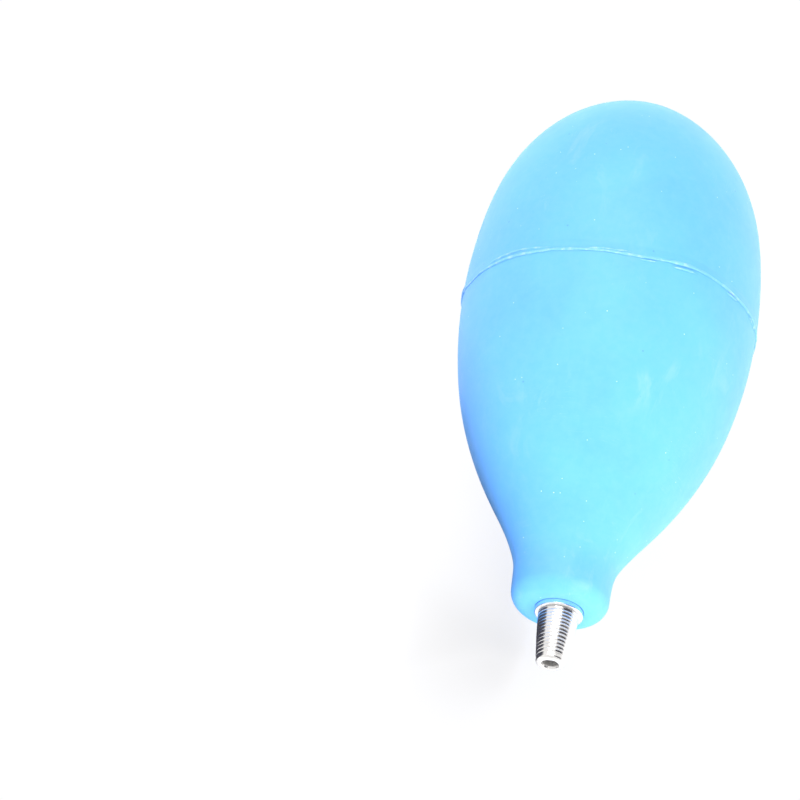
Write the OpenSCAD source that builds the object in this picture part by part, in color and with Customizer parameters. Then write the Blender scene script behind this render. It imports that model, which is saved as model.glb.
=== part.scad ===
// Dust blower bulb for watch repair.
// A hollow egg-shaped rubber bulb made of two moulded halves bonded at the
// widest circle, with a thick neck that holds a flanged metal bush, and a
// turned hollow metal nozzle tip plugged into that bush.
// The bulb lies on its side: its axis is horizontal along Y, the nozzle points
// towards -Y, and Z = 0 is the lowest point of the bonding bead.
// Profiles are drawn as [radius, station], where the station is the distance
// along the axis from the rear pole of the bulb towards the nozzle.

/* [Bulb] */
// Outside diameter at the widest circle
bulb_d = 55; // [50:0.5:60]
// Length of the rubber body from the rear pole to the neck face
bulb_len = 107.2; // [104:0.1:112]
// Station of the widest circle
belly_station = 44; // [40:0.5:46]
// Bluntness of the rear dome at its pole (2 is an ellipse, more is flatter)
dome_bluntness = 2.3; // [2:0.05:2.6]
// Fullness of the rear dome towards the widest circle (2 is an ellipse)
dome_fullness = 2; // [1.9:0.05:2.3]
// Fullness of the front shoulder
shoulder_fullness = 2.4; // [2.2:0.05:2.7]
// Softness of the curve that runs from the shoulder into the neck
shoulder_softness = 1.35; // [1.2:0.05:1.6]
// Station where the shoulder has become the straight neck
neck_station = 99; // [98:0.5:101]
// Wall thickness of the rubber
wall = 3; // [2.5:0.1:3.5]

/* [Bonded seam] */
// Station of the seam between the two rubber halves
seam_station = 45.5; // [45:0.5:48]
// Thickness of the bonding layer between the halves
bond_t = 0.3; // [0.2:0.05:0.5]
// Width of the raised bead around the outside
bead_w = 1.2; // [0.8:0.1:1.6]
// Height that the bead stands proud of the bulb
bead_h = 0.35; // [0.2:0.05:0.5]

/* [Neck] */
// Outside diameter of the straight neck
neck_d = 18.3; // [17:0.1:19]
// Rounding radius of the neck's rim
rim_r = 3; // [1.5:0.1:3.2]
// Depth of the shallow seat in the neck face that locates the flange
seat_depth = 0.2; // [0.1:0.05:0.5]

/* [Neck bush] */
// Diameter of the bush's flange, which stands proud of the neck face
flange_d = 9; // [8.4:0.1:10]
// Thickness of the bush's flange
flange_t = 1.2; // [1:0.1:1.6]
// Outside diameter of the bush's stem
bush_d = 7; // [6.8:0.1:7.2]
// Length of the bush's stem inside the neck
bush_len = 12; // [11:0.5:13]
// Height of each retaining barb on the stem
barb_h = 0.3; // [0.2:0.05:0.4]
// Number of retaining barbs
barb_n = 3; // [2:1:4]
// Bore of the bush
bush_bore = 5.1; // [5.1:0.02:5.14]

/* [Nozzle tip] */
// Length of nozzle outside the neck face
nozzle_out = 11.5; // [9:0.5:14]
// Diameter of the nozzle cone at its base
cone_base_d = 7.7; // [6.8:0.1:8]
// Diameter of the nozzle cone just behind its rounded end
cone_tip_d = 5.6; // [5:0.1:5.8]
// Rounding radius of the nozzle's end
tip_round = 0.7; // [0.4:0.1:0.9]
// Diameter of the air hole through the nozzle
air_bore = 2.9; // [2.6:0.1:3.2]
// Diameter of the plug that seats in the bush
plug_d = 5; // [4.98:0.01:5]
// Length of the plug that seats in the bush
plug_len = 9; // [8:0.5:10]

/* [Hidden] */
$fn = 96;
// radial clearance of a part that can turn or slide in another
fit_gap = 0.05;
// gap between flat faces of neighbouring bodies
face_gap = 0.02;
// lift of the bead's roll above the rubber, which leaves a fine dark line
bead_lift = 0.1;
half_d = bulb_d / 2;
inner_d = half_d - wall;
neck_r = neck_d / 2;
hole_r = bush_d / 2 + fit_gap;
seat_floor = bulb_len - seat_depth;
flange_face = seat_floor + flange_t;
flange_r = flange_d / 2;
bush_end = seat_floor - bush_len;
tip_end = bulb_len + nozzle_out;
axis_z = half_d + bead_lift + bead_h;
rear_y = tip_end / 2;
steps = 30;

// one quarter of a rounded dome, from its pole to the widest circle
function dome(a, b, start) = [for (i = [0:steps]) let (t = 90 * i / steps)
    [b * pow(sin(t), 2 / dome_fullness), start - a * pow(cos(t), 2 / dome_bluntness)]];

// radius of the front half at a station, from r0 at the belly to r1 at the neck
function shoulder(s, r0, r1, s_end) =
    let (u = min(1, max(0, (s - belly_station) / (s_end - belly_station))))
    r1 + (r0 - r1) * pow(1 - pow(u, shoulder_fullness), shoulder_softness);

// points along the shoulder between two stations
function shoulder_line(s0, s1, r0, r1, s_end) = [for (i = [0:steps])
    let (s = s0 + (s1 - s0) * i / steps) [shoulder(s, r0, r1, s_end), s]];

// a quarter-round from angle a0 to a1 about a centre
function arc(cx, cy, r, a0, a1, n = 6) = [for (i = [0:n])
    let (a = a0 + (a1 - a0) * i / n) [cx + r * cos(a), cy + r * sin(a)]];

function reverse(v) = [for (i = [len(v) - 1:-1:0]) v[i]];

// lay a revolved profile along the bulb's axis
module lay() {
    translate([0, rear_y, axis_z]) rotate([90, 0, 0]) children();
}

// outline of the bush's stem, barbs included, grown by g all round
function barbs(g) = [for (i = [0:barb_n - 1])
    let (s = seat_floor - 2.4 - i * 3)
    each [[bush_d / 2 + g, s + 0.02], [bush_d / 2 + barb_h + g, s], [bush_d / 2 + g, s - 1.2]]];

// rear half of the rubber bulb, a plain dome
module rear_shell() {
    edge = seam_station - bond_t / 2;
    color([0.56, 0.90, 1.00]) lay() rotate_extrude()
        polygon(concat(
            dome(belly_station, half_d, belly_station),
            [[half_d, edge], [inner_d, edge]],
            reverse(dome(belly_station - wall, inner_d, belly_station))));
}

// front half of the rubber bulb: shoulder, neck, flange seat and the bush's hole
module front_shell() {
    edge = seam_station + bond_t / 2 + face_gap;
    funnel = bush_end - 0.5;
    color([0.56, 0.90, 1.00]) lay() rotate_extrude()
        polygon(concat(
            shoulder_line(edge, neck_station, half_d, neck_r, neck_station),
            arc(neck_r - rim_r, bulb_len - rim_r, rim_r, 0, 90),
            [[flange_r + fit_gap, bulb_len], [flange_r + fit_gap, seat_floor], [hole_r, seat_floor]],
            barbs(fit_gap),
            [[hole_r, funnel]],
            [for (i = [1:steps]) let (s = funnel + (edge - funnel) * i / steps)
                [shoulder(s, inner_d, hole_r, funnel), s]]));
}

// bonding layer between the halves, with its raised bead around the outside
module seam_bead() {
    root = half_d + bead_lift;
    color([0.66, 0.94, 1.00]) lay() rotate_extrude()
        polygon(concat(
            [[inner_d, seam_station - bond_t / 2], [root, seam_station - bond_t / 2],
             [root, seam_station - bead_w / 2]],
            [for (i = [1:7]) let (a = 180 * i / 8)
                [root + bead_h * sin(a), seam_station - bead_w / 2 * cos(a)]],
            [[root, seam_station + bead_w / 2], [root, seam_station + bond_t / 2],
             [inner_d, seam_station + bond_t / 2]]));
}

// flanged and barbed bush that the neck grips
module neck_bush() {
    c = 0.25;
    color([0.88, 0.89, 0.90]) lay() rotate_extrude()
        polygon(concat(
            [[bush_bore / 2, flange_face],
             [flange_r - 0.15, flange_face],
             [flange_r, flange_face - 0.15],
             [flange_r, seat_floor + face_gap],
             [bush_d / 2, seat_floor + face_gap]],
            barbs(0),
            [[bush_d / 2, bush_end + c], [bush_d / 2 - c, bush_end],
             [bush_bore / 2, bush_end]]));
}

// turned hollow cone with a rounded end and a plain plug behind it
module nozzle_tip() {
    base = flange_face + face_gap;
    c = 0.2;
    mouth = 0.4;
    color([0.80, 0.81, 0.83]) lay() difference() {
        rotate_extrude() polygon(concat(
            [[0, base - plug_len],
             [plug_d / 2 - c, base - plug_len], [plug_d / 2, base - plug_len + c],
             [plug_d / 2, base], [cone_base_d / 2 - c, base],
             [cone_base_d / 2, base + c]],
            arc(cone_tip_d / 2 - tip_round, tip_end - tip_round, tip_round, 4, 90),
            [[0, tip_end]]));
        translate([0, 0, base - plug_len - 1])
            cylinder(d = air_bore, h = tip_end - base + plug_len + 2);
        translate([0, 0, tip_end - mouth])
            cylinder(r1 = air_bore / 2, r2 = air_bore / 2 + mouth + 0.01, h = mouth + 0.01);
    }
}

rear_shell();
front_shell();
seam_bead();
neck_bush();
nozzle_tip();
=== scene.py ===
import bpy, math
import numpy as np
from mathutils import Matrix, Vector


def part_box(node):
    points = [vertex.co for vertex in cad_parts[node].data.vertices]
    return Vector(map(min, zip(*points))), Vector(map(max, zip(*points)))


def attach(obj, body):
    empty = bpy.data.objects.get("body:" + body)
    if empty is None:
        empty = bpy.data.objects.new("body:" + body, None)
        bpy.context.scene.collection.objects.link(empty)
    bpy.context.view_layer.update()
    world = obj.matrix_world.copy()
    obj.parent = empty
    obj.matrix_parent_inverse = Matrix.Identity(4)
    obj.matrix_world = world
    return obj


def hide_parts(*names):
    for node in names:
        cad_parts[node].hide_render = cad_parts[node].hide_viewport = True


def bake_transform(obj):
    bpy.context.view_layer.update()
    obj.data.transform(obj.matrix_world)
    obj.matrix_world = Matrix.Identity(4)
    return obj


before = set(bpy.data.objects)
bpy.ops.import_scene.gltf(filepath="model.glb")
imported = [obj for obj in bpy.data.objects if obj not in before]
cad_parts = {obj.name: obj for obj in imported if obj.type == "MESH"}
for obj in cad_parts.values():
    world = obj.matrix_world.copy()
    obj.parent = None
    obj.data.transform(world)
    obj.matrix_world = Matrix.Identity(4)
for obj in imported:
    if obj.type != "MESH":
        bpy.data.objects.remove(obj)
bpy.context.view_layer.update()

MM = 0.001
rng = np.random.default_rng(20402)

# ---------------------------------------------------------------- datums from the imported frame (mm)
b_lo, b_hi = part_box("seam_bead")
r_lo, r_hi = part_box("rear_shell")
t_lo, t_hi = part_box("nozzle_tip")
ZC = (b_lo.z + b_hi.z) / 2 / MM          # height of the bulb's axis
RY = r_hi.y / MM                         # y of the rear pole
TIP = RY - t_lo.y / MM                   # station of the nozzle's end
SEAM = RY - (b_lo.y + b_hi.y) / 2 / MM   # station of the bonded seam

HALF, WALL = 27.5, 3.0
BELLY, DOME_B, DOME_N = 44.0, 2.3, 2.0
SH_P, SH_Q, NECK_S, NECK_R = 2.4, 1.35, 99.0, 9.15
FACE, RIM = 107.2, 3.0
FL_R, SEAT = 4.5, 0.2
FLANGE_T, BUSH_R, BUSH_L, BARB, BORE = 1.2, 3.5, 12.0, 0.3, 2.55
FLOOR_S = FACE - SEAT
FLANGE_S = FLOOR_S + FLANGE_T
BUSH_END = FLOOR_S - BUSH_L
CONE_R, TIP_R, TIP_ROUND = 3.85, 2.8, 0.7
AIR_R, PLUG_R, PLUG_L = 1.45, 2.5, 9.0


def P(s, r, phi=0.0):
    """Row-frame point, in metres, at station s, radius r and angle phi about the axis."""
    return Vector((r * math.cos(phi), RY - s, ZC + r * math.sin(phi))) * MM


def smooth(t):
    t = np.clip(t, 0, 1)
    return t * t * (3 - 2 * t)


def ring_noise(phi, seed, ks, amp):
    """Smooth periodic noise round the ring."""
    g = np.random.default_rng(seed)
    out = np.zeros_like(phi)
    for k in ks:
        out += g.normal() * np.sin(k * phi + g.uniform(0, 2 * np.pi)) / math.sqrt(len(ks))
    return out * amp


def fillet(points, radii, n=5):
    """Rounds the corners of an open polyline; radii is one radius per inner corner."""
    pts = [np.array(p, float) for p in points]
    out = [pts[0]]
    for i in range(1, len(pts) - 1):
        r = radii[i - 1]
        a, b, c = pts[i - 1], pts[i], pts[i + 1]
        u, v = a - b, c - b
        lu, lv = np.linalg.norm(u), np.linalg.norm(v)
        if r <= 0:
            out.append(b)
            continue
        u, v = u / lu, v / lv
        ang = math.acos(float(np.clip(u @ v, -1, 1)))
        if ang > math.pi - 1e-3:
            out.append(b)
            continue
        d = min(r / math.tan(ang / 2), 0.49 * lu, 0.49 * lv)
        for k in range(n + 1):
            t = k / n
            p = (1 - t) ** 2 * (b + u * d) + 2 * t * (1 - t) * b + t ** 2 * (b + v * d)
            out.append(p)
    out.append(pts[-1])
    return out


def resample(points, step):
    """Points along a polyline at a spacing that step(length so far, point) gives."""
    p = np.array(points, float)
    seg = np.linalg.norm(np.diff(p, axis=0), axis=1)
    keep = np.concatenate([[True], seg > 1e-9])
    p = p[keep]
    seg = np.linalg.norm(np.diff(p, axis=0), axis=1)
    cum = np.concatenate([[0], np.cumsum(seg)])
    at, out = 0.0, []
    while at < cum[-1] - 1e-6:
        q = np.array([np.interp(at, cum, p[:, 0]), np.interp(at, cum, p[:, 1])])
        out.append(q)
        at += step(q)
    if np.linalg.norm(out[-1] - p[-1]) < 0.3 * step(p[-1]) and len(out) > 1:
        out.pop()
    out.append(p[-1])
    return out


def build(name, profile, n, poles, warp=None):
    """A closed solid of revolution from [station, radius] points. poles: the profile starts and ends on the axis.
    Otherwise it is a closed loop. warp(s, r, phi, index) returns the moved s and r."""
    prof = np.array(profile, float)
    phi = np.arange(n) * 2 * np.pi / n
    m = len(prof)
    S = np.repeat(prof[:, 0][:, None], n, 1)
    R = np.repeat(prof[:, 1][:, None], n, 1)
    A = np.repeat(phi[None, :], m, 0)
    if warp:
        S, R = warp(S, R, A, prof)
    X, Y, Z = R * np.cos(A), RY - S, ZC + R * np.sin(A)
    if warp:
        X = X + bend(S, R)
    if poles:
        body = slice(1, m - 1)
        verts = np.stack([X[body], Y[body], Z[body]], -1).reshape(-1, 3)
        rows = m - 2
        first, last = len(verts), len(verts) + 1
        verts = np.vstack([verts, [[0, RY - S[0].mean(), ZC]], [[0, RY - S[-1].mean(), ZC]]])
    else:
        verts = np.stack([X, Y, Z], -1).reshape(-1, 3)
        rows = m
    j = np.arange(n)
    k = (j + 1) % n
    faces = []
    for i in range(rows - 1 if poles else rows):
        a, b = i * n, ((i + 1) % rows) * n
        faces += np.stack([a + j, a + k, b + k, b + j], 1).tolist()
    if poles:
        faces += [[first, int(y), int(x)] for x, y in zip(j, k)]
        base = (rows - 1) * n
        faces += [[last, int(base + x), int(base + y)] for x, y in zip(j, k)]
    return finish_mesh(name, verts * MM, faces)


def finish_mesh(name, verts, faces):
    me = bpy.data.meshes.new(name)
    me.from_pydata([tuple(v) for v in verts], [], faces)
    me.validate()
    tri = np.zeros(0)
    me.calc_loop_triangles()
    t = np.array([x.vertices[:] for x in me.loop_triangles])
    v = np.array(verts, float)
    c = v.mean(0)
    a, b, d = v[t[:, 0]] - c, v[t[:, 1]] - c, v[t[:, 2]] - c
    if (np.einsum("ij,ij->i", a, np.cross(b, d))).sum() < 0:
        me.flip_normals()
    me.polygons.foreach_set("use_smooth", [True] * len(me.polygons))
    me.update()
    ob = bpy.data.objects.new(name, me)
    bpy.context.scene.collection.objects.link(ob)
    return ob


# ---------------------------------------------------------------- profiles (station, radius)
def dome_curve(a, b, start, n=900):
    t = np.linspace(0, np.pi / 2, n)
    return np.stack([start - a * np.cos(t) ** (2 / DOME_B), b * np.sin(t) ** (2 / DOME_N)], 1)


def shoulder(s, r0, r1, s_end):
    u = np.clip((s - BELLY) / (s_end - BELLY), 0, 1)
    return r1 + (r0 - r1) * (1 - u ** SH_P) ** SH_Q


# measured radii of the moulded rubber, station: radius
RADII = {0: 0, 2.5: 9.67, 5: 13.46, 7.5: 16.23, 10: 18.43, 12.5: 20.24, 15: 21.74, 20: 23.99, 25: 25.46, 30: 26.40,
         35: 27.01, 40: 27.40, 45: 27.49, 50: 27.28, 55: 26.78, 60: 26.02, 65: 24.99, 70: 23.52, 75: 21.61, 80: 19.30,
         85: 16.54, 90: 13.42, 95: 10.68, 97.5: 9.69, 100: 9.27, 105: 9.13, 110: 9.13}
grid = np.arange(-12, 122, 0.05)


def plain_radius(s):
    x = np.clip((BELLY - s) / BELLY, 0, 1)
    return np.where(s < BELLY, HALF * (1 - x ** DOME_B) ** (1 / DOME_N), shoulder(s, HALF, NECK_R, NECK_S))


def blur(v, sigma):
    w = np.exp(-0.5 * (np.arange(-3 * sigma, 3 * sigma + 0.001, 0.05) / sigma) ** 2)
    pad = len(w) // 2
    return np.convolve(np.pad(v, pad, mode="edge"), w / w.sum(), "valid")


keys = np.array(list(RADII))
rest = np.interp(grid, keys, np.array(list(RADII.values())) - plain_radius(keys))
rest = blur(rest, 1.8) * smooth(grid / 5)
neck_soft = blur(plain_radius(grid), 1.5) - plain_radius(grid)
rest = rest + neck_soft * smooth((grid - 84) / 6)


def radius_fix(s):
    """What the measured outline adds to the plain formula."""
    return np.interp(s, grid, rest)


def bend(s, r):
    """Sideways set of the neck, which is not quite straight."""
    lean = -0.40 * np.exp(-((s - 97.5) / 6.0) ** 2) - 0.18 * smooth((s - 98) / 6)
    return lean * smooth((r - 5.0) / 2.0)


PHI_N = 320
W_SEED, W_KS, W_AMP = 11, (3, 5, 7, 11, 17), 0.05


def seam_wobble(phi):
    """How far the hand-bonded seam wanders along the axis, in mm."""
    return 0.50 - 1.60 * smooth((np.cos(phi) - 0.10) / 0.56) - 0.80 * smooth((-np.cos(phi) - 0.93) / 0.07) \
        + ring_noise(phi, W_SEED, W_KS, W_AMP)


def organic(S, A, seed, amp=0.035):
    """Slight unevenness of a hand-finished rubber moulding."""
    g = np.random.default_rng(seed)
    out = np.zeros_like(S)
    for _ in range(9):
        k = int(g.integers(1, 6))
        m = g.uniform(-0.16, 0.16)
        out += np.sin(k * A + m * S + g.uniform(0, 6.28)) * g.uniform(0.3, 1)
    return out * amp / 2


# rear half ------------------------------------------------------
e_r = SEAM - 0.13
outer = dome_curve(BELLY, HALF, BELLY)
outer = outer.copy()
rr = outer[:, 1]
outer[:, 1] += radius_fix(outer[:, 0])
outer[:, 0] += 0.20 * np.exp(-(rr / 5.0) ** 2)                      # faint flat at the pole
outer[:, 0] += 0.05 * np.exp(-((rr - 2.4) / 0.22) ** 2)             # shallow witness ring of the mould's insert
outer[:, 0] -= 0.18 * smooth((0.80 - rr) / 0.35)                    # small moulding pip
outer = np.vstack([outer, [[e_r, HALF + radius_fix(e_r)]]])
lip = 0.17 * smooth((outer[:, 0] - (SEAM - 2.2)) / 1.6)
outer[:, 1] += lip
dense = resample(outer, lambda q: 0.11 if q[1] < 3.2 else 0.8)
dense = [q for q in dense if q[0] < SEAM - 2.4] + \
    resample([q for q in resample(outer, lambda q: 0.05) if q[0] >= SEAM - 2.4], lambda q: 0.16)
edge = fillet([dense[-1] - np.array([0.5, 0]), np.array([e_r, dense[-1][1]]), np.array([e_r, HALF - WALL]),
               np.array([e_r - 1.0, HALF - WALL])], [0.28, 0.2], 6)
dense = [q for q in dense if q[0] < e_r - 0.5] + edge
inner = dome_curve(BELLY - WALL, HALF - WALL, BELLY)[::-1]
inner_pts = resample(inner, lambda q: 1.4)
rear_profile = dense + [p for p in inner_pts if p[0] < e_r - 1.1]
rear_profile[0] = np.array([rear_profile[0][0], 0.0])
rear_profile[-1] = np.array([rear_profile[-1][0], 0.0])


def warp_rear(S, R, A, prof):
    near = smooth((S - (SEAM - 6)) / 6)
    out = organic(S, A, 5) * smooth(R / 8)
    outerside = (R > 0)
    R2 = R + np.where(outerside, out, 0)
    S2 = S + seam_wobble(A) * near
    # small nicks and swellings of the trimmed lip
    lipband = np.exp(-((S - (SEAM - 0.5)) / 0.55) ** 2) * (R > HALF - 0.6)
    R2 = R2 + lipband * ring_noise(A, 21, (9, 14, 23, 31, 47, 61), 0.035)
    return S2, R2


rear = build("rear_dome_rubber", rear_profile, PHI_N, True, warp_rear)

# front half -----------------------------------------------------
e_f = SEAM + 0.15
s_line = np.linspace(e_f, NECK_S, 1400)
s_line = np.concatenate([s_line, np.linspace(NECK_S, FACE - RIM, 90)[1:]])
sh = np.stack([s_line, shoulder(s_line, HALF, NECK_R, NECK_S) + radius_fix(s_line)], 1)
arc_pts = [[FACE - RIM + RIM * math.sin(a), NECK_R - RIM + RIM * math.cos(a)]
           for a in np.linspace(0, math.pi / 2, 28)]
face_pts = fillet([arc_pts[-1], [FACE, FL_R + 0.05], [FLOOR_S, FL_R + 0.05], [FLOOR_S, BUSH_R + 0.05]], [0.09, 0.05], 4)
barb_pts = []
for i in range(3):
    s = FLOOR_S - 2.4 - i * 3
    barb_pts += [[s + 0.02, BUSH_R + 0.05], [s, BUSH_R + BARB + 0.05], [s - 1.2, BUSH_R + 0.05]]
funnel = BUSH_END - 0.5
outer_f = np.vstack([sh[:-1], np.array(arc_pts) + [[0, sh[-1][1] - NECK_R]]])
front_out = resample(outer_f, lambda q: 0.16 if q[0] < SEAM + 2.2 else (0.8 if q[0] < 92 else 0.42))
start = fillet([[e_f, HALF - WALL], [e_f, front_out[0][1]], front_out[8]], [0.11], 6)
front_out = start[1:-1] + front_out[8:]
inner_s = np.linspace(funnel, e_f, 46)
front_in = [[s, float(shoulder(np.array(s), HALF - WALL, BUSH_R + 0.05, funnel))] for s in inner_s]
front_profile = front_out + face_pts[1:] + barb_pts + front_in[:-1] + [[e_f, HALF - WALL]]


def warp_front(S, R, A, prof):
    near = smooth(((SEAM + 6) - S) / 6)
    R2 = R + organic(S, A, 5) * smooth((R - 10) / 8)
    S2 = S + seam_wobble(A) * near
    band = np.exp(-((S - (SEAM + 0.6)) / 0.5) ** 2) * (R > HALF - 0.6)
    R2 = R2 + band * ring_noise(A, 33, (8, 13, 21, 37, 55), 0.025)
    return S2, R2


front = build("front_half_rubber", front_profile, PHI_N, False, warp_front)

# bonding bead ---------------------------------------------------
BN = 960
ph = np.arange(BN) * 2 * np.pi / BN


def bump_at(phi, centre_deg, half_deg, soft=6):
    d = np.abs((np.degrees(phi) - centre_deg + 180) % 360 - 180)
    return smooth((half_deg - d) / soft + 0.5)


height = 0.16 + ring_noise(ph, 41, (3, 5, 9, 17, 29, 43, 71, 97), 0.05)
height += 0.08 * bump_at(ph, 62, 6, 4) + 0.05 * bump_at(ph, 128, 12, 8)
height += 0.10 * bump_at(ph, 262, 14, 6) + 0.08 * bump_at(ph, 336, 7, 5) + 0.06 * bump_at(ph, 205, 9, 5)
height = np.clip(height, 0.06, 0.33)
width = 0.23 + np.abs(ring_noise(ph, 43, (4, 7, 15, 26, 49, 83), 0.06))
width += 0.10 * bump_at(ph, 60, 5, 3) + 0.10 * bump_at(ph, 265, 12, 6)
centre = ring_noise(ph, 47, (3, 8, 19, 33, 57), 0.04) - 0.04
K = 13
loop = []
root = HALF - 0.25
for kk in range(K):
    loop.append(("arc", math.pi * kk / (K - 1)))
rows = []
wob = seam_wobble(ph)
ripple = [ring_noise(ph, 60 + q, (23, 41, 67, 101), 0.02) for q in range(K)]
for kk in range(K):
    a = math.pi * kk / (K - 1)
    s = SEAM + wob + centre - width * np.cos(a)
    r = HALF + 0.02 + (height + ripple[kk] * math.sin(a)) * math.sin(a) ** 0.8
    rows.append((s, r))
rows.append((SEAM + wob + 0.12, np.full(BN, root)))
rows.append((SEAM + wob + 0.12, np.full(BN, HALF - WALL + 0.05)))
rows.append((SEAM + wob - 0.10, np.full(BN, HALF - WALL + 0.05)))
rows.append((SEAM + wob - 0.10, np.full(BN, root)))
S = np.array([r[0] for r in rows]); R = np.array([r[1] for r in rows]); A = np.repeat(ph[None, :], len(rows), 0)
R = R + organic(S, A, 5)
verts = np.stack([R * np.cos(A), RY - S, ZC + R * np.sin(A)], -1).reshape(-1, 3) * MM
j = np.arange(BN); k = (j + 1) % BN
faces = []
for i in range(len(rows)):
    a, b = i * BN, ((i + 1) % len(rows)) * BN
    faces += np.stack([a + j, a + k, b + k, b + j], 1).tolist()
bead = finish_mesh("seam_bond_bead", verts, faces)


def ridge(name, d0, d1, ds, w, h, seed, taper=0.25, sink=0.05):
    """A short lap or flash ridge that lies on the rubber beside the seam, from angle d0 to d1 in degrees."""
    n = max(24, int((d1 - d0) * 3.2))
    p = np.radians(np.linspace(d0, d1, n))
    t = np.linspace(0, 1, n)
    env = smooth(t / taper) * smooth((1 - t) / taper)
    env = np.clip(env * (1 + ring_noise(p * 9, seed, (1, 2, 4, 7), 0.25)), 0.04, 1.3)
    off = ds(t) if callable(ds) else np.full(n, ds)
    off = off + ring_noise(p * 6, seed + 1, (1, 3, 5), 0.05)
    m = 9
    vs = []
    for i in range(m):
        a = math.pi * i / (m - 1)
        s = SEAM + seam_wobble(p) + off - w * env * math.cos(a)
        base = np.where(off < 0, HALF + 0.17 * smooth((SEAM + off - (SEAM - 2.2)) / 1.6), HALF)
        r = base - sink + (h * env + sink) * math.sin(a)
        r = r + organic(s, p, 5)
        vs.append(np.stack([r * np.cos(p), RY - s, ZC + r * np.sin(p)], -1))
    vs = np.array(vs)                       # m x n x 3
    verts = vs.transpose(1, 0, 2).reshape(-1, 3)
    fs = []
    for i in range(n - 1):
        for q in range(m - 1):
            fs.append([i * m + q, i * m + q + 1, (i + 1) * m + q + 1, (i + 1) * m + q])
        fs.append([i * m + m - 1, i * m, (i + 1) * m, (i + 1) * m + m - 1])
    fs.append(list(range(m))[::-1])
    fs.append([(n - 1) * m + q for q in range(m)])
    return finish_mesh(name, verts * MM, fs)


laps = [
    ridge("seam_lap_upper_left", 112, 149, lambda t: -0.95 + 0.55 * np.abs(2 * t - 1) ** 2, 0.22, 0.11, 101),
    ridge("seam_flash_upper_right", 54, 65, lambda t: 0.80 + 0.15 * t, 0.20, 0.20, 111),
    ridge("seam_flash_small_right", 71, 78, 0.62, 0.14, 0.12, 117),
    ridge("seam_lap_top", 82, 101, lambda t: -0.62 + 0.2 * t, 0.16, 0.10, 121),
    ridge("seam_flash_right_side", 30, 38, lambda t: 0.5 + 0.2 * t, 0.18, 0.16, 131),
    ridge("seam_flash_far_right", 8, 19, lambda t: 0.6 - 0.2 * t, 0.2, 0.14, 137),
    ridge("seam_lap_left_side", 168, 196, lambda t: -0.8 + 0.4 * t, 0.24, 0.15, 141),
    ridge("seam_flash_under", 232, 268, lambda t: 0.7 - 0.3 * t, 0.24, 0.18, 151),
    ridge("seam_lap_under_right", 296, 331, lambda t: -0.85 + 0.5 * t, 0.25, 0.14, 161),
]

# neck bush ------------------------------------------------------
bush_prof = [[FLANGE_S, BORE + 0.05], [FLANGE_S, FL_R], [FLOOR_S + 0.03, FL_R], [FLOOR_S + 0.03, BUSH_R]]
bp = fillet([[FLANGE_S, BORE + 0.4]] + bush_prof[1:], [0.20, 0.05], 6)
bb = []
for i in range(3):
    s = FLOOR_S - 2.4 - i * 3
    bb += [[s + 0.02, BUSH_R], [s, BUSH_R + BARB], [s - 1.2, BUSH_R]]
tail = fillet([bb[-1], [BUSH_END, BUSH_R], [BUSH_END, BORE], [FLANGE_S, BORE], [FLANGE_S, BORE + 0.4]], [0.25, 0.15, 0.12], 5)
bush = build("neck_bush_metal", bp + bb + tail[1:-1], 192, False)

# nozzle tip -----------------------------------------------------
base_s = FLANGE_S + 0.03
L = TIP - base_s
grooves = []
s = base_s + 0.62
g = np.random.default_rng(77)
while s < TIP - 1.22:
    t = (s - base_s) / L
    grooves.append((s, 0.045 + 0.065 * t ** 1.5 + g.uniform(-0.010, 0.015)))
    s += 0.66 + 0.14 * t + g.uniform(-0.05, 0.05)
collar = grooves[-1][0]
cs = np.linspace(base_s + 0.14, TIP - TIP_ROUND, 900)
cr = np.interp(cs, [base_s, 113.0, collar, TIP - TIP_ROUND], [CONE_R - 0.01, 3.42, 2.90, 2.80])
for (ga, da), (gb, db) in zip(grooves[:-1], grooves[1:]):
    # a rounded rib between two turned grooves
    x = (cs - ga) / (gb - ga)
    on = (x >= 0) & (x <= 1)
    d = da + (db - da) * x
    cr = np.where(on, cr - d * np.clip(np.abs(2 * x - 1), 0, 1) ** 3.4, cr)
cr = np.where(cs < grooves[0][0], cr - grooves[0][1] * np.clip((cs - base_s) / (grooves[0][0] - base_s), 0, 1) ** 4, cr)
# the smooth bulging collar at the end
xc = np.clip((cs - collar) / (TIP - TIP_ROUND - collar), 0, 1)
cr = np.where(cs > collar, 2.90 - grooves[-1][1] + (TIP_R - 0.01 - 2.90 + grooves[-1][1]) * np.sin(xc * math.pi / 2) ** 0.7, cr)
cone = [[a, b] for a, b in zip(cs, cr)]
end_arc = [[TIP - TIP_ROUND + TIP_ROUND * math.sin(a), TIP_R - TIP_ROUND + TIP_ROUND * math.cos(a)]
           for a in np.linspace(0.03, math.pi / 2, 18)]
mouth = fillet([end_arc[-1], [TIP, AIR_R + 0.24], [TIP - 0.55, AIR_R], [TIP - 3, AIR_R]], [0.14, 0.35], 7)
rear_end = fillet([[base_s - PLUG_L + 3, AIR_R], [base_s - PLUG_L, AIR_R], [base_s - PLUG_L, PLUG_R], [base_s, PLUG_R],
                   [base_s, CONE_R - 0.02], [base_s + 0.14, CONE_R - 0.01]], [0.12, 0.2, 0.05, 0.06], 5)
tip_profile = cone + end_arc[1:] + mouth[1:-1] + [[TIP - 8, AIR_R], [TIP - 14, AIR_R]] + rear_end[:-1]
tip = build("nozzle_tip_turned", tip_profile, 192, False)

# ---------------------------------------------------------------- materials
def new_mat(name):
    m = bpy.data.materials.new(name)
    m.use_nodes = True
    nt = m.node_tree
    nt.nodes.clear()
    out = nt.nodes.new("ShaderNodeOutputMaterial")
    bs = nt.nodes.new("ShaderNodeBsdfPrincipled")
    nt.links.new(bs.outputs[0], out.inputs[0])
    return m, nt, bs


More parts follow.
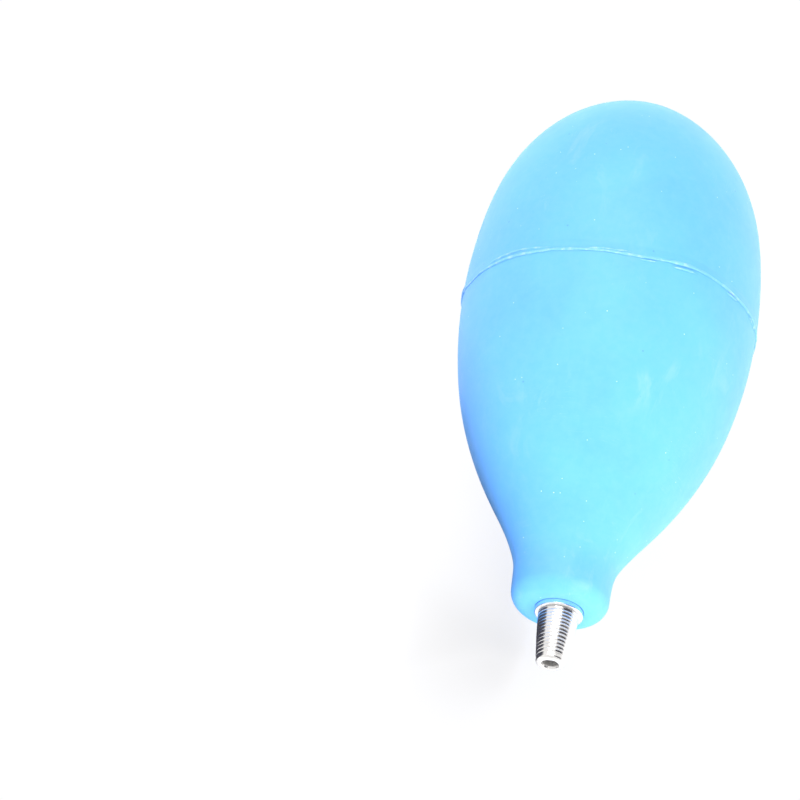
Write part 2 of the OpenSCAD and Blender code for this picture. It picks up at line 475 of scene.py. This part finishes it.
class Net:
    def __init__(self, nt):
        self.nt = nt

    def node(self, kind, **props):
        n = self.nt.nodes.new(kind)
        for k, v in props.items():
            setattr(n, k, v)
        return n

    def link(self, a, b):
        self.nt.links.new(a, b)

    def val(self, sock, v):
        if hasattr(v, "is_output"):
            self.link(v, sock)
        else:
            sock.default_value = v

    def math(self, op, a, b=None, clamp=False):
        n = self.node("ShaderNodeMath", operation=op, use_clamp=clamp)
        self.val(n.inputs[0], a)
        if b is not None:
            self.val(n.inputs[1], b)
        return n.outputs[0]

    def ramp(self, v, stops):
        n = self.node("ShaderNodeValToRGB")
        e = n.color_ramp.elements
        while len(e) > len(stops):
            e.remove(e[-1])
        while len(e) < len(stops):
            e.new(0.5)
        for q, (pos, col) in zip(e, stops):
            q.position = pos
            q.color = col if len(col) == 4 else (*col, 1)
        self.link(v, n.inputs[0])
        return n.outputs[0]

    def coords(self, scale=(1, 1, 1), loc=(0, 0, 0)):
        tc = self.node("ShaderNodeTexCoord")
        mp = self.node("ShaderNodeMapping")
        mp.inputs["Scale"].default_value = scale
        mp.inputs["Location"].default_value = loc
        self.link(tc.outputs["Object"], mp.inputs[0])
        return mp.outputs[0]

    def noise(self, co, scale, detail=3, rough=0.5, dist=0.0):
        n = self.node("ShaderNodeTexNoise")
        n.inputs["Scale"].default_value = scale
        n.inputs["Detail"].default_value = detail
        n.inputs["Roughness"].default_value = rough
        n.inputs["Distortion"].default_value = dist
        self.link(co, n.inputs["Vector"])
        return n.outputs["Fac"]

    def voronoi(self, co, scale, feature="F1"):
        n = self.node("ShaderNodeTexVoronoi", feature=feature)
        n.inputs["Scale"].default_value = scale
        self.link(co, n.inputs["Vector"])
        return n

    def mix(self, fac, a, b, blend="MIX"):
        n = self.node("ShaderNodeMix", data_type="RGBA", blend_type=blend)
        self.val(n.inputs[0], fac)
        self.val(n.inputs[6], a)
        self.val(n.inputs[7], b)
        return n.outputs[2]


def rubber(name, base, seam=False):
    m, nt, bs = new_mat(name)
    N = Net(nt)
    co = N.coords()
    dark = tuple(c * 0.93 for c in base) + (1,)
    light = tuple(min(1, c * 1.05) for c in base) + (1,)
    big = N.noise(co, 55, 3, 0.55, 0.2)
    col = N.mix(N.ramp(big, [(0.3, (0, 0, 0)), (0.7, (1, 1, 1))]), dark, light)
    fine = N.noise(co, 620, 4, 0.6)
    col = N.mix(N.ramp(fine, [(0.35, (0, 0, 0)), (0.75, (0.16, 0.16, 0.16))]), col, (min(1, base[0] * 1.6 + 0.05), min(1, base[1] * 1.15 + .02), min(1, base[2] * 1.05), 1))
    # pale smears left by handling
    sm = N.noise(N.coords((1, 0.35, 1), (0.3, 0.1, 0.2)), 150, 5, 0.65, 0.8)
    patch = N.noise(N.coords((1, 1, 1), (0.7, 0.4, 0.9)), 38, 2, 0.5)
    smear = N.math("MULTIPLY", N.ramp(sm, [(0.56, (0, 0, 0)), (0.74, (0.5, 0.5, 0.5))]), N.ramp(patch, [(0.48, (0, 0, 0)), (0.62, (1, 1, 1))]))
    col = N.mix(smear, col, (min(1, base[0] * 1.9 + 0.06), min(1, base[1] * 1.2 + .03), min(1, base[2] * 1.08), 1))
    # fine hairline scratches
    sc1 = N.noise(N.coords((1, 26, 1), (0.11, 0.2, 0.3)), 95, 2, 0.4, 0.6)
    sc2 = N.noise(N.coords((20, 1.4, 3), (0.5, 0.12, 0.8)), 70, 2, 0.4, 0.6)
    l1 = N.ramp(sc1, [(0.497, (0, 0, 0)), (0.5, (1, 1, 1)), (0.503, (0, 0, 0))])
    l2 = N.ramp(sc2, [(0.497, (0, 0, 0)), (0.5, (1, 1, 1)), (0.503, (0, 0, 0))])
    where = N.noise(N.coords((1, 1, 1), (0.2, 0.9, 0.4)), 62, 2, 0.5)
    w1 = N.ramp(where, [(0.6, (0, 0, 0)), (0.66, (1, 1, 1))])
    w2 = N.ramp(where, [(0.34, (1, 1, 1)), (0.40, (0, 0, 0))])
    scr = N.math("ADD", N.math("MULTIPLY", l1, w1), N.math("MULTIPLY", l2, w2), True)
    col = N.mix(N.math("MULTIPLY", scr, 0.35), col, (min(1, base[0] * 2.2 + 0.1), min(1, base[1] * 1.25 + .05), min(1, base[2] * 1.1), 1))
    # specks of white dust
    specks = None
    for sc, size, share, off in ((230, 0.034, 0.20, 0.0), (420, 0.052, 0.17, 0.37), (800, 0.085, 0.10, 0.71)):
        v = N.voronoi(N.coords((1, 1, 1), (off, off * 0.7, off * 1.3)), sc)
        dot = N.ramp(v.outputs["Distance"], [(size * 0.55, (1, 1, 1)), (size, (0, 0, 0))])
        sep = N.node("ShaderNodeSeparateColor")
        N.link(v.outputs["Color"], sep.inputs[0])
        pick = N.math("GREATER_THAN", sep.outputs[0], 1 - share)
        d = N.math("MULTIPLY", dot, pick)
        specks = d if specks is None else N.math("MAXIMUM", specks, d)
    col = N.mix(N.math("MULTIPLY", specks, 0.7), col, (0.80, 0.93, 0.98, 1))
    # a few darker grains
    v = N.voronoi(N.coords((1, 1, 1), (0.9, 0.3, 0.6)), 260)
    dot = N.ramp(v.outputs["Distance"], [(0.03, (1, 1, 1)), (0.06, (0, 0, 0))])
    sep = N.node("ShaderNodeSeparateColor")
    N.link(v.outputs["Color"], sep.inputs[0])
    grain = N.math("MULTIPLY", dot, N.math("GREATER_THAN", sep.outputs[1], 0.72))
    col = N.mix(N.math("MULTIPLY", grain, 0.5), col, tuple(c * 0.45 for c in base) + (1,))
    if seam:
        pits = N.noise(co, 900, 3, 0.6)
        col = N.mix(N.ramp(pits, [(0.5, (0, 0, 0)), (0.68, (0.45, 0.45, 0.45))]), col, (min(1, base[0] * 2.4 + .1), min(1, base[1] * 1.2 + .08), min(1, base[2] * 1.1), 1))
    N.link(col, bs.inputs["Base Color"])
    rough = N.math("ADD", N.math("MULTIPLY", N.noise(co, 240, 4, 0.6), 0.16), 0.46 if not seam else 0.40)
    rough = N.math("ADD", rough, N.math("MULTIPLY", smear, 0.1), True)
    N.link(rough, bs.inputs["Roughness"])
    bs.inputs["Specular IOR Level"].default_value = 0.30
    bs.inputs["Sheen Weight"].default_value = 0.06
    bs.inputs["Sheen Roughness"].default_value = 0.5
    bs.inputs["Sheen Tint"].default_value = (0.85, 0.97, 1.0, 1)
    bs.inputs["IOR"].default_value = 1.45
    h = N.math("MULTIPLY", N.noise(co, 2600, 3, 0.55), 0.5)
    h = N.math("ADD", h, N.math("MULTIPLY", N.noise(co, 500, 2, 0.5), 0.7))
    h = N.math("ADD", h, N.math("MULTIPLY", specks, 1.6))
    h = N.math("SUBTRACT", h, N.math("MULTIPLY", scr, 0.6))
    if seam:
        h = N.math("ADD", h, N.math("MULTIPLY", N.noise(co, 1300, 4, 0.6), 2.0))
    bp = N.node("ShaderNodeBump")
    bp.inputs["Strength"].default_value = 0.35
    bp.inputs["Distance"].default_value = 0.00006
    N.link(h, bp.inputs["Height"])
    N.link(bp.outputs[0], bs.inputs["Normal"])
    return m


def metal(name, base, rough0, turned):
    m, nt, bs = new_mat(name)
    N = Net(nt)
    co = N.coords()
    ax = N.coords((1, 1, 1), (0, 0, 0))
    sep = N.node("ShaderNodeSeparateXYZ")
    N.link(ax, sep.inputs[0])
    # fine lathe lines: noise that changes along the axis only
    cmb = N.node("ShaderNodeCombineXYZ")
    N.link(sep.outputs[1], cmb.inputs[0])
    lines = N.node("ShaderNodeTexNoise")
    lines.inputs["Scale"].default_value = 9000 if turned else 3500
    lines.inputs["Detail"].default_value = 3
    N.link(cmb.outputs[0], lines.inputs["Vector"])
    tarn = N.noise(co, 420, 4, 0.6, 0.4)
    col = N.mix(N.ramp(tarn, [(0.35, (0, 0, 0)), (0.75, (1, 1, 1))]), tuple(c * 0.90 for c in base) + (1,), tuple(min(1, c * 1.06) for c in base) + (1,))
    col = N.mix(N.math("MULTIPLY", N.ramp(lines.outputs["Fac"], [(0.4, (1, 1, 1)), (0.6, (0, 0, 0))]), 0.22 if turned else 0.06), col, tuple(c * 0.72 for c in base) + (1,))
    spot = N.voronoi(co, 900)
    dots = N.ramp(spot.outputs["Distance"], [(0.05, (1, 1, 1)), (0.11, (0, 0, 0))])
    sc = N.node("ShaderNodeSeparateColor")
    N.link(spot.outputs["Color"], sc.inputs[0])
    dots = N.math("MULTIPLY", dots, N.math("GREATER_THAN", sc.outputs[0], 0.86))
    col = N.mix(N.math("MULTIPLY", dots, 0.5), col, tuple(c * 0.45 for c in base) + (1,))
    N.link(col, bs.inputs["Base Color"])
    bs.inputs["Metallic"].default_value = 1.0
    r = N.math("ADD", N.math("MULTIPLY", lines.outputs["Fac"], 0.14 if turned else 0.06), rough0 - 0.05)
    r = N.math("ADD", r, N.math("MULTIPLY", tarn, 0.08), True)
    # the drilled hole is duller than the outside
    dz = N.math("SUBTRACT", sep.outputs[2], ZC * MM)
    rad = N.math("SQRT", N.math("ADD", N.math("MULTIPLY", sep.outputs[0], sep.outputs[0]), N.math("MULTIPLY", dz, dz)))
    inside = N.math("LESS_THAN", rad, (AIR_R + 0.06) * MM)
    r = N.math("ADD", r, N.math("MULTIPLY", inside, 0.34), True)
    N.link(r, bs.inputs["Roughness"])
    bp = N.node("ShaderNodeBump")
    bp.inputs["Strength"].default_value = 0.5 if turned else 0.2
    bp.inputs["Distance"].default_value = 0.000012
    N.link(lines.outputs["Fac"], bp.inputs["Height"])
    N.link(bp.outputs[0], bs.inputs["Normal"])
    return m


BLUE = (0.105, 0.36, 0.86)
m_rub = rubber("blue_rubber", BLUE)
m_seam = rubber("blue_bond", tuple(min(1, c * k) for c, k in zip(BLUE, (1.35, 1.12, 1.03))), True)
m_tip = metal("turned_plated_metal", (0.80, 0.79, 0.78), 0.13, True)
m_bush = metal("plain_plated_metal", (0.90, 0.90, 0.91), 0.22, False)


def give(ob, mat):
    ob.data.materials.clear()
    ob.data.materials.append(mat)


give(rear, m_rub)
give(front, m_rub)
give(bead, m_seam)
for o in laps:
    give(o, m_seam)
give(bush, m_bush)
give(tip, m_tip)
for n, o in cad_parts.items():
    o.data.materials.clear()
    o.data.materials.append({"rear_shell": m_rub, "front_shell": m_rub, "seam_bead": m_seam,
                             "neck_bush": m_bush, "nozzle_tip": m_tip}[n])

# ---------------------------------------------------------------- bodies
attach(rear, "rear")
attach(bead, "rear")
for o in laps:
    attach(o, "rear")
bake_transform(front)
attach(bush, "bush")
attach(tip, "tip")
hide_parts("rear_shell")
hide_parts("front_shell")
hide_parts("seam_bead")
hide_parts("neck_bush")
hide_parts("nozzle_tip")

# ---------------------------------------------------------------- stage, light, camera
def plain(name, col, rough=0.9):
    m, nt, bs = new_mat(name)
    bs.inputs["Base Color"].default_value = (*col, 1)
    bs.inputs["Roughness"].default_value = rough
    bs.inputs["Specular IOR Level"].default_value = 0.1
    return m


me = bpy.data.meshes.new("floor")
F = 5.0
me.from_pydata([(-F, -F, 0), (F, -F, 0), (F, F, 0), (-F, F, 0)], [], [[0, 1, 2, 3]])
floor = bpy.data.objects.new("floor", me)
bpy.context.scene.collection.objects.link(floor)
fm = plain("floor_white", (0.93, 0.93, 0.94))
# an over-exposed white sweep: the camera sees most of its shade washed out
ft = fm.node_tree
f_out = [n for n in ft.nodes if n.type == "OUTPUT_MATERIAL"][0]
f_bs = [n for n in ft.nodes if n.type == "BSDF_PRINCIPLED"][0]
f_em = ft.nodes.new("ShaderNodeEmission")
f_em.inputs[0].default_value = (0.985, 0.985, 1.0, 1)
f_em.inputs[1].default_value = 1.03
f_lp = ft.nodes.new("ShaderNodeLightPath")
f_k = ft.nodes.new("ShaderNodeMath")
f_k.operation = "MULTIPLY"


def f_math(op, a, b, clamp=False):
    n = ft.nodes.new("ShaderNodeMath")
    n.operation, n.use_clamp = op, clamp
    for sock, v in zip(n.inputs, (a, b)):
        if hasattr(v, "is_output"):
            ft.links.new(v, sock)
        else:
            sock.default_value = v
    return n.outputs[0]


# distance on the floor from the line under the bulb's axis
f_tc = ft.nodes.new("ShaderNodeTexCoord")
f_sp = ft.nodes.new("ShaderNodeSeparateXYZ")
ft.links.new(f_tc.outputs["Object"], f_sp.inputs[0])
f_y = f_math("MAXIMUM", f_math("SUBTRACT", f_math("ABSOLUTE", f_sp.outputs[1], 0.0), 0.045), 0.0)
f_d = f_math("SQRT", f_math("ADD", f_math("MULTIPLY", f_sp.outputs[0], f_sp.outputs[0]), f_math("MULTIPLY", f_y, f_y)), 0.0)
f_far = f_math("DIVIDE", f_math("SUBTRACT", f_d, 0.012), 0.018, True)
ft.links.new(f_math("ADD", f_math("MULTIPLY", f_far, 0.25), 0.75), f_k.inputs[1])
f_mx = ft.nodes.new("ShaderNodeMixShader")
ft.links.new(f_lp.outputs["Is Camera Ray"], f_k.inputs[0])
ft.links.new(f_k.outputs[0], f_mx.inputs[0])
ft.links.new(f_bs.outputs[0], f_mx.inputs[1])
ft.links.new(f_em.outputs[0], f_mx.inputs[2])
ft.links.new(f_mx.outputs[0], f_out.inputs[0])
floor.data.materials.append(fm)


def area(name, loc, target, size, power, col=(1, 1, 1)):
    d = bpy.data.lights.new(name, "AREA")
    d.shape = "RECTANGLE"
    d.size, d.size_y = size
    d.energy = power
    d.color = col
    o = bpy.data.objects.new(name, d)
    bpy.context.scene.collection.objects.link(o)
    o.location = loc
    o.rotation_mode = "QUATERNION"
    o.rotation_quaternion = (Vector(target) - Vector(loc)).to_track_quat("-Z", "Y")
    return o


mid = Vector((0, 0, 0.03))
key = area("front_softbox", (0.20, -1.30, 0.38), mid, (1.3, 0.8), 36)
key.visible_glossy = False
area("rear_softbox", (-0.10, 0.66, 1.15), mid, (0.8, 0.8), 14)
side = area("right_fill", (1.1, 0.35, 0.6), mid, (0.9, 0.8), 10)
side.visible_glossy = False
left = area("left_softbox", (-1.05, 0.45, 0.75), mid, (0.9, 0.8), 12)
left.visible_glossy = False


def flag(name, verts, faces, diffuse):
    """A dark panel that the camera does not see: it only takes light away, as a flag does in a studio."""
    fm = bpy.data.meshes.new(name)
    fm.from_pydata(verts, [], faces)
    fm.polygons.foreach_set("use_smooth", [True] * len(fm.polygons))
    fo = bpy.data.objects.new(name, fm)
    bpy.context.scene.collection.objects.link(fo)
    fm.materials.append(plain(name + "_black", (0.035, 0.035, 0.045), 0.6))
    fo.visible_camera = False
    fo.visible_diffuse = diffuse
    fo.visible_shadow = diffuse
    fo.visible_transmission = False
    return fo


# an egg-shaped flag low on the left that narrows toward the neck
fA, fB = Vector((-0.0585, -0.0415, 0.0275)), Vector((-0.0015, -0.0445, 0.0095))   # points on its axis, 45.5 and 107.2 mm from its rear end
fu = (fB - fA).normalized()
f1 = fu.cross(Vector((0, 0, 1))).normalized()
f2 = fu.cross(f1)
fv, ff, FN = [], [], 32
stations = [0.8, 3, 7, 12, 18, 25, 33, 41, 49, 57, 64, 71, 77, 83, 88, 93, 98, 103]
for q in stations:
    rad = float(plain_radius(np.array(q))) * 1.0
    for k in range(FN):
        p2 = 2 * math.pi * k / FN
        c = fA + fu * (q - 45.5) * MM
        fv.append(tuple(c + f1 * (rad * MM * math.cos(p2)) + f2 * (rad * MM * math.sin(p2))))
for i in range(len(stations) - 1):
    for k in range(FN):
        ff.append((i * FN + k, i * FN + (k + 1) % FN, (i + 1) * FN + (k + 1) % FN, (i + 1) * FN + k))
ff.append(tuple(range(FN))[::-1])
ff.append(tuple((len(stations) - 1) * FN + k for k in range(FN)))
flag("left_flag", fv, ff, True)
# a dark card on the floor below it, which only shows in reflections
flag("floor_card", [(x, y, 0.0008) for x, y in ((-0.15, -0.048), (-0.017, -0.048), (-0.013, -0.036), (-0.018, -0.018),
                                                (-0.028, 0.006), (-0.15, 0.006))], [(0, 1, 2, 3, 4, 5)], False)
# a flat flag on the right that only shows in reflections
d = Vector((0.74, 0.02, 0.62)).normalized()
u1 = d.cross(Vector((0, 1, 0))).normalized()
u2 = d.cross(u1)
c0 = Vector((0, -0.05, 0.03)) + d * 0.5
flag("right_flag", [tuple(c0 + u1 * (a * 0.26) + u2 * (b * 0.19)) for a, b in ((-1, -1), (1, -1), (1, 1), (-1, 1))], [(0, 1, 2, 3)], False)

world = bpy.data.worlds.new("studio")
bpy.context.scene.world = world
world.use_nodes = True
wn = world.node_tree
wn.nodes.clear()
wo = wn.nodes.new("ShaderNodeOutputWorld")
lp = wn.nodes.new("ShaderNodeLightPath")


def backdrop(col, strength):
    b = wn.nodes.new("ShaderNodeBackground")
    b.inputs[0].default_value = col
    b.inputs[1].default_value = strength
    return b.outputs[0]


def choose(fac, a, b):
    x = wn.nodes.new("ShaderNodeMixShader")
    wn.links.new(fac, x.inputs[0])
    wn.links.new(a, x.inputs[1])
    wn.links.new(b, x.inputs[2])
    return x.outputs[0]


soft = choose(lp.outputs["Is Glossy Ray"], backdrop((0.93, 0.96, 1.0, 1), 0.50), backdrop((1.0, 0.99, 0.98, 1), 1.15))
wn.links.new(choose(lp.outputs["Is Camera Ray"], soft, backdrop((1, 1, 1, 1), 1.0)), wo.inputs[0])

AZ, EL, DIST, PX = math.radians(8.77), math.radians(59.92), 3.0, 5.346
right = Vector((math.cos(AZ), math.sin(AZ), 0))
back = Vector((math.sin(AZ) * math.cos(EL), -math.cos(AZ) * math.cos(EL), math.sin(EL)))
up = back.cross(right)
cam_d = bpy.data.cameras.new("camera")
cam = bpy.data.objects.new("camera", cam_d)
bpy.context.scene.collection.objects.link(cam)
cam_d.sensor_width = 36
cam_d.lens = PX * DIST / MM * 36 / 800
cam_d.clip_start, cam_d.clip_end = 0.1, 20
cam.location = P(0, 0) - right * 0.04562 - up * 0.05294 + back * DIST
cam.rotation_mode = "QUATERNION"
cam.rotation_quaternion = (-back).to_track_quat("-Z", "Y")
bpy.context.scene.camera = cam

vs = bpy.context.scene.view_settings
vs.view_transform = "Standard"
vs.look = "None"
vs.exposure = 0.0
vs.gamma = 1.0

bpy.context.view_layer.update()
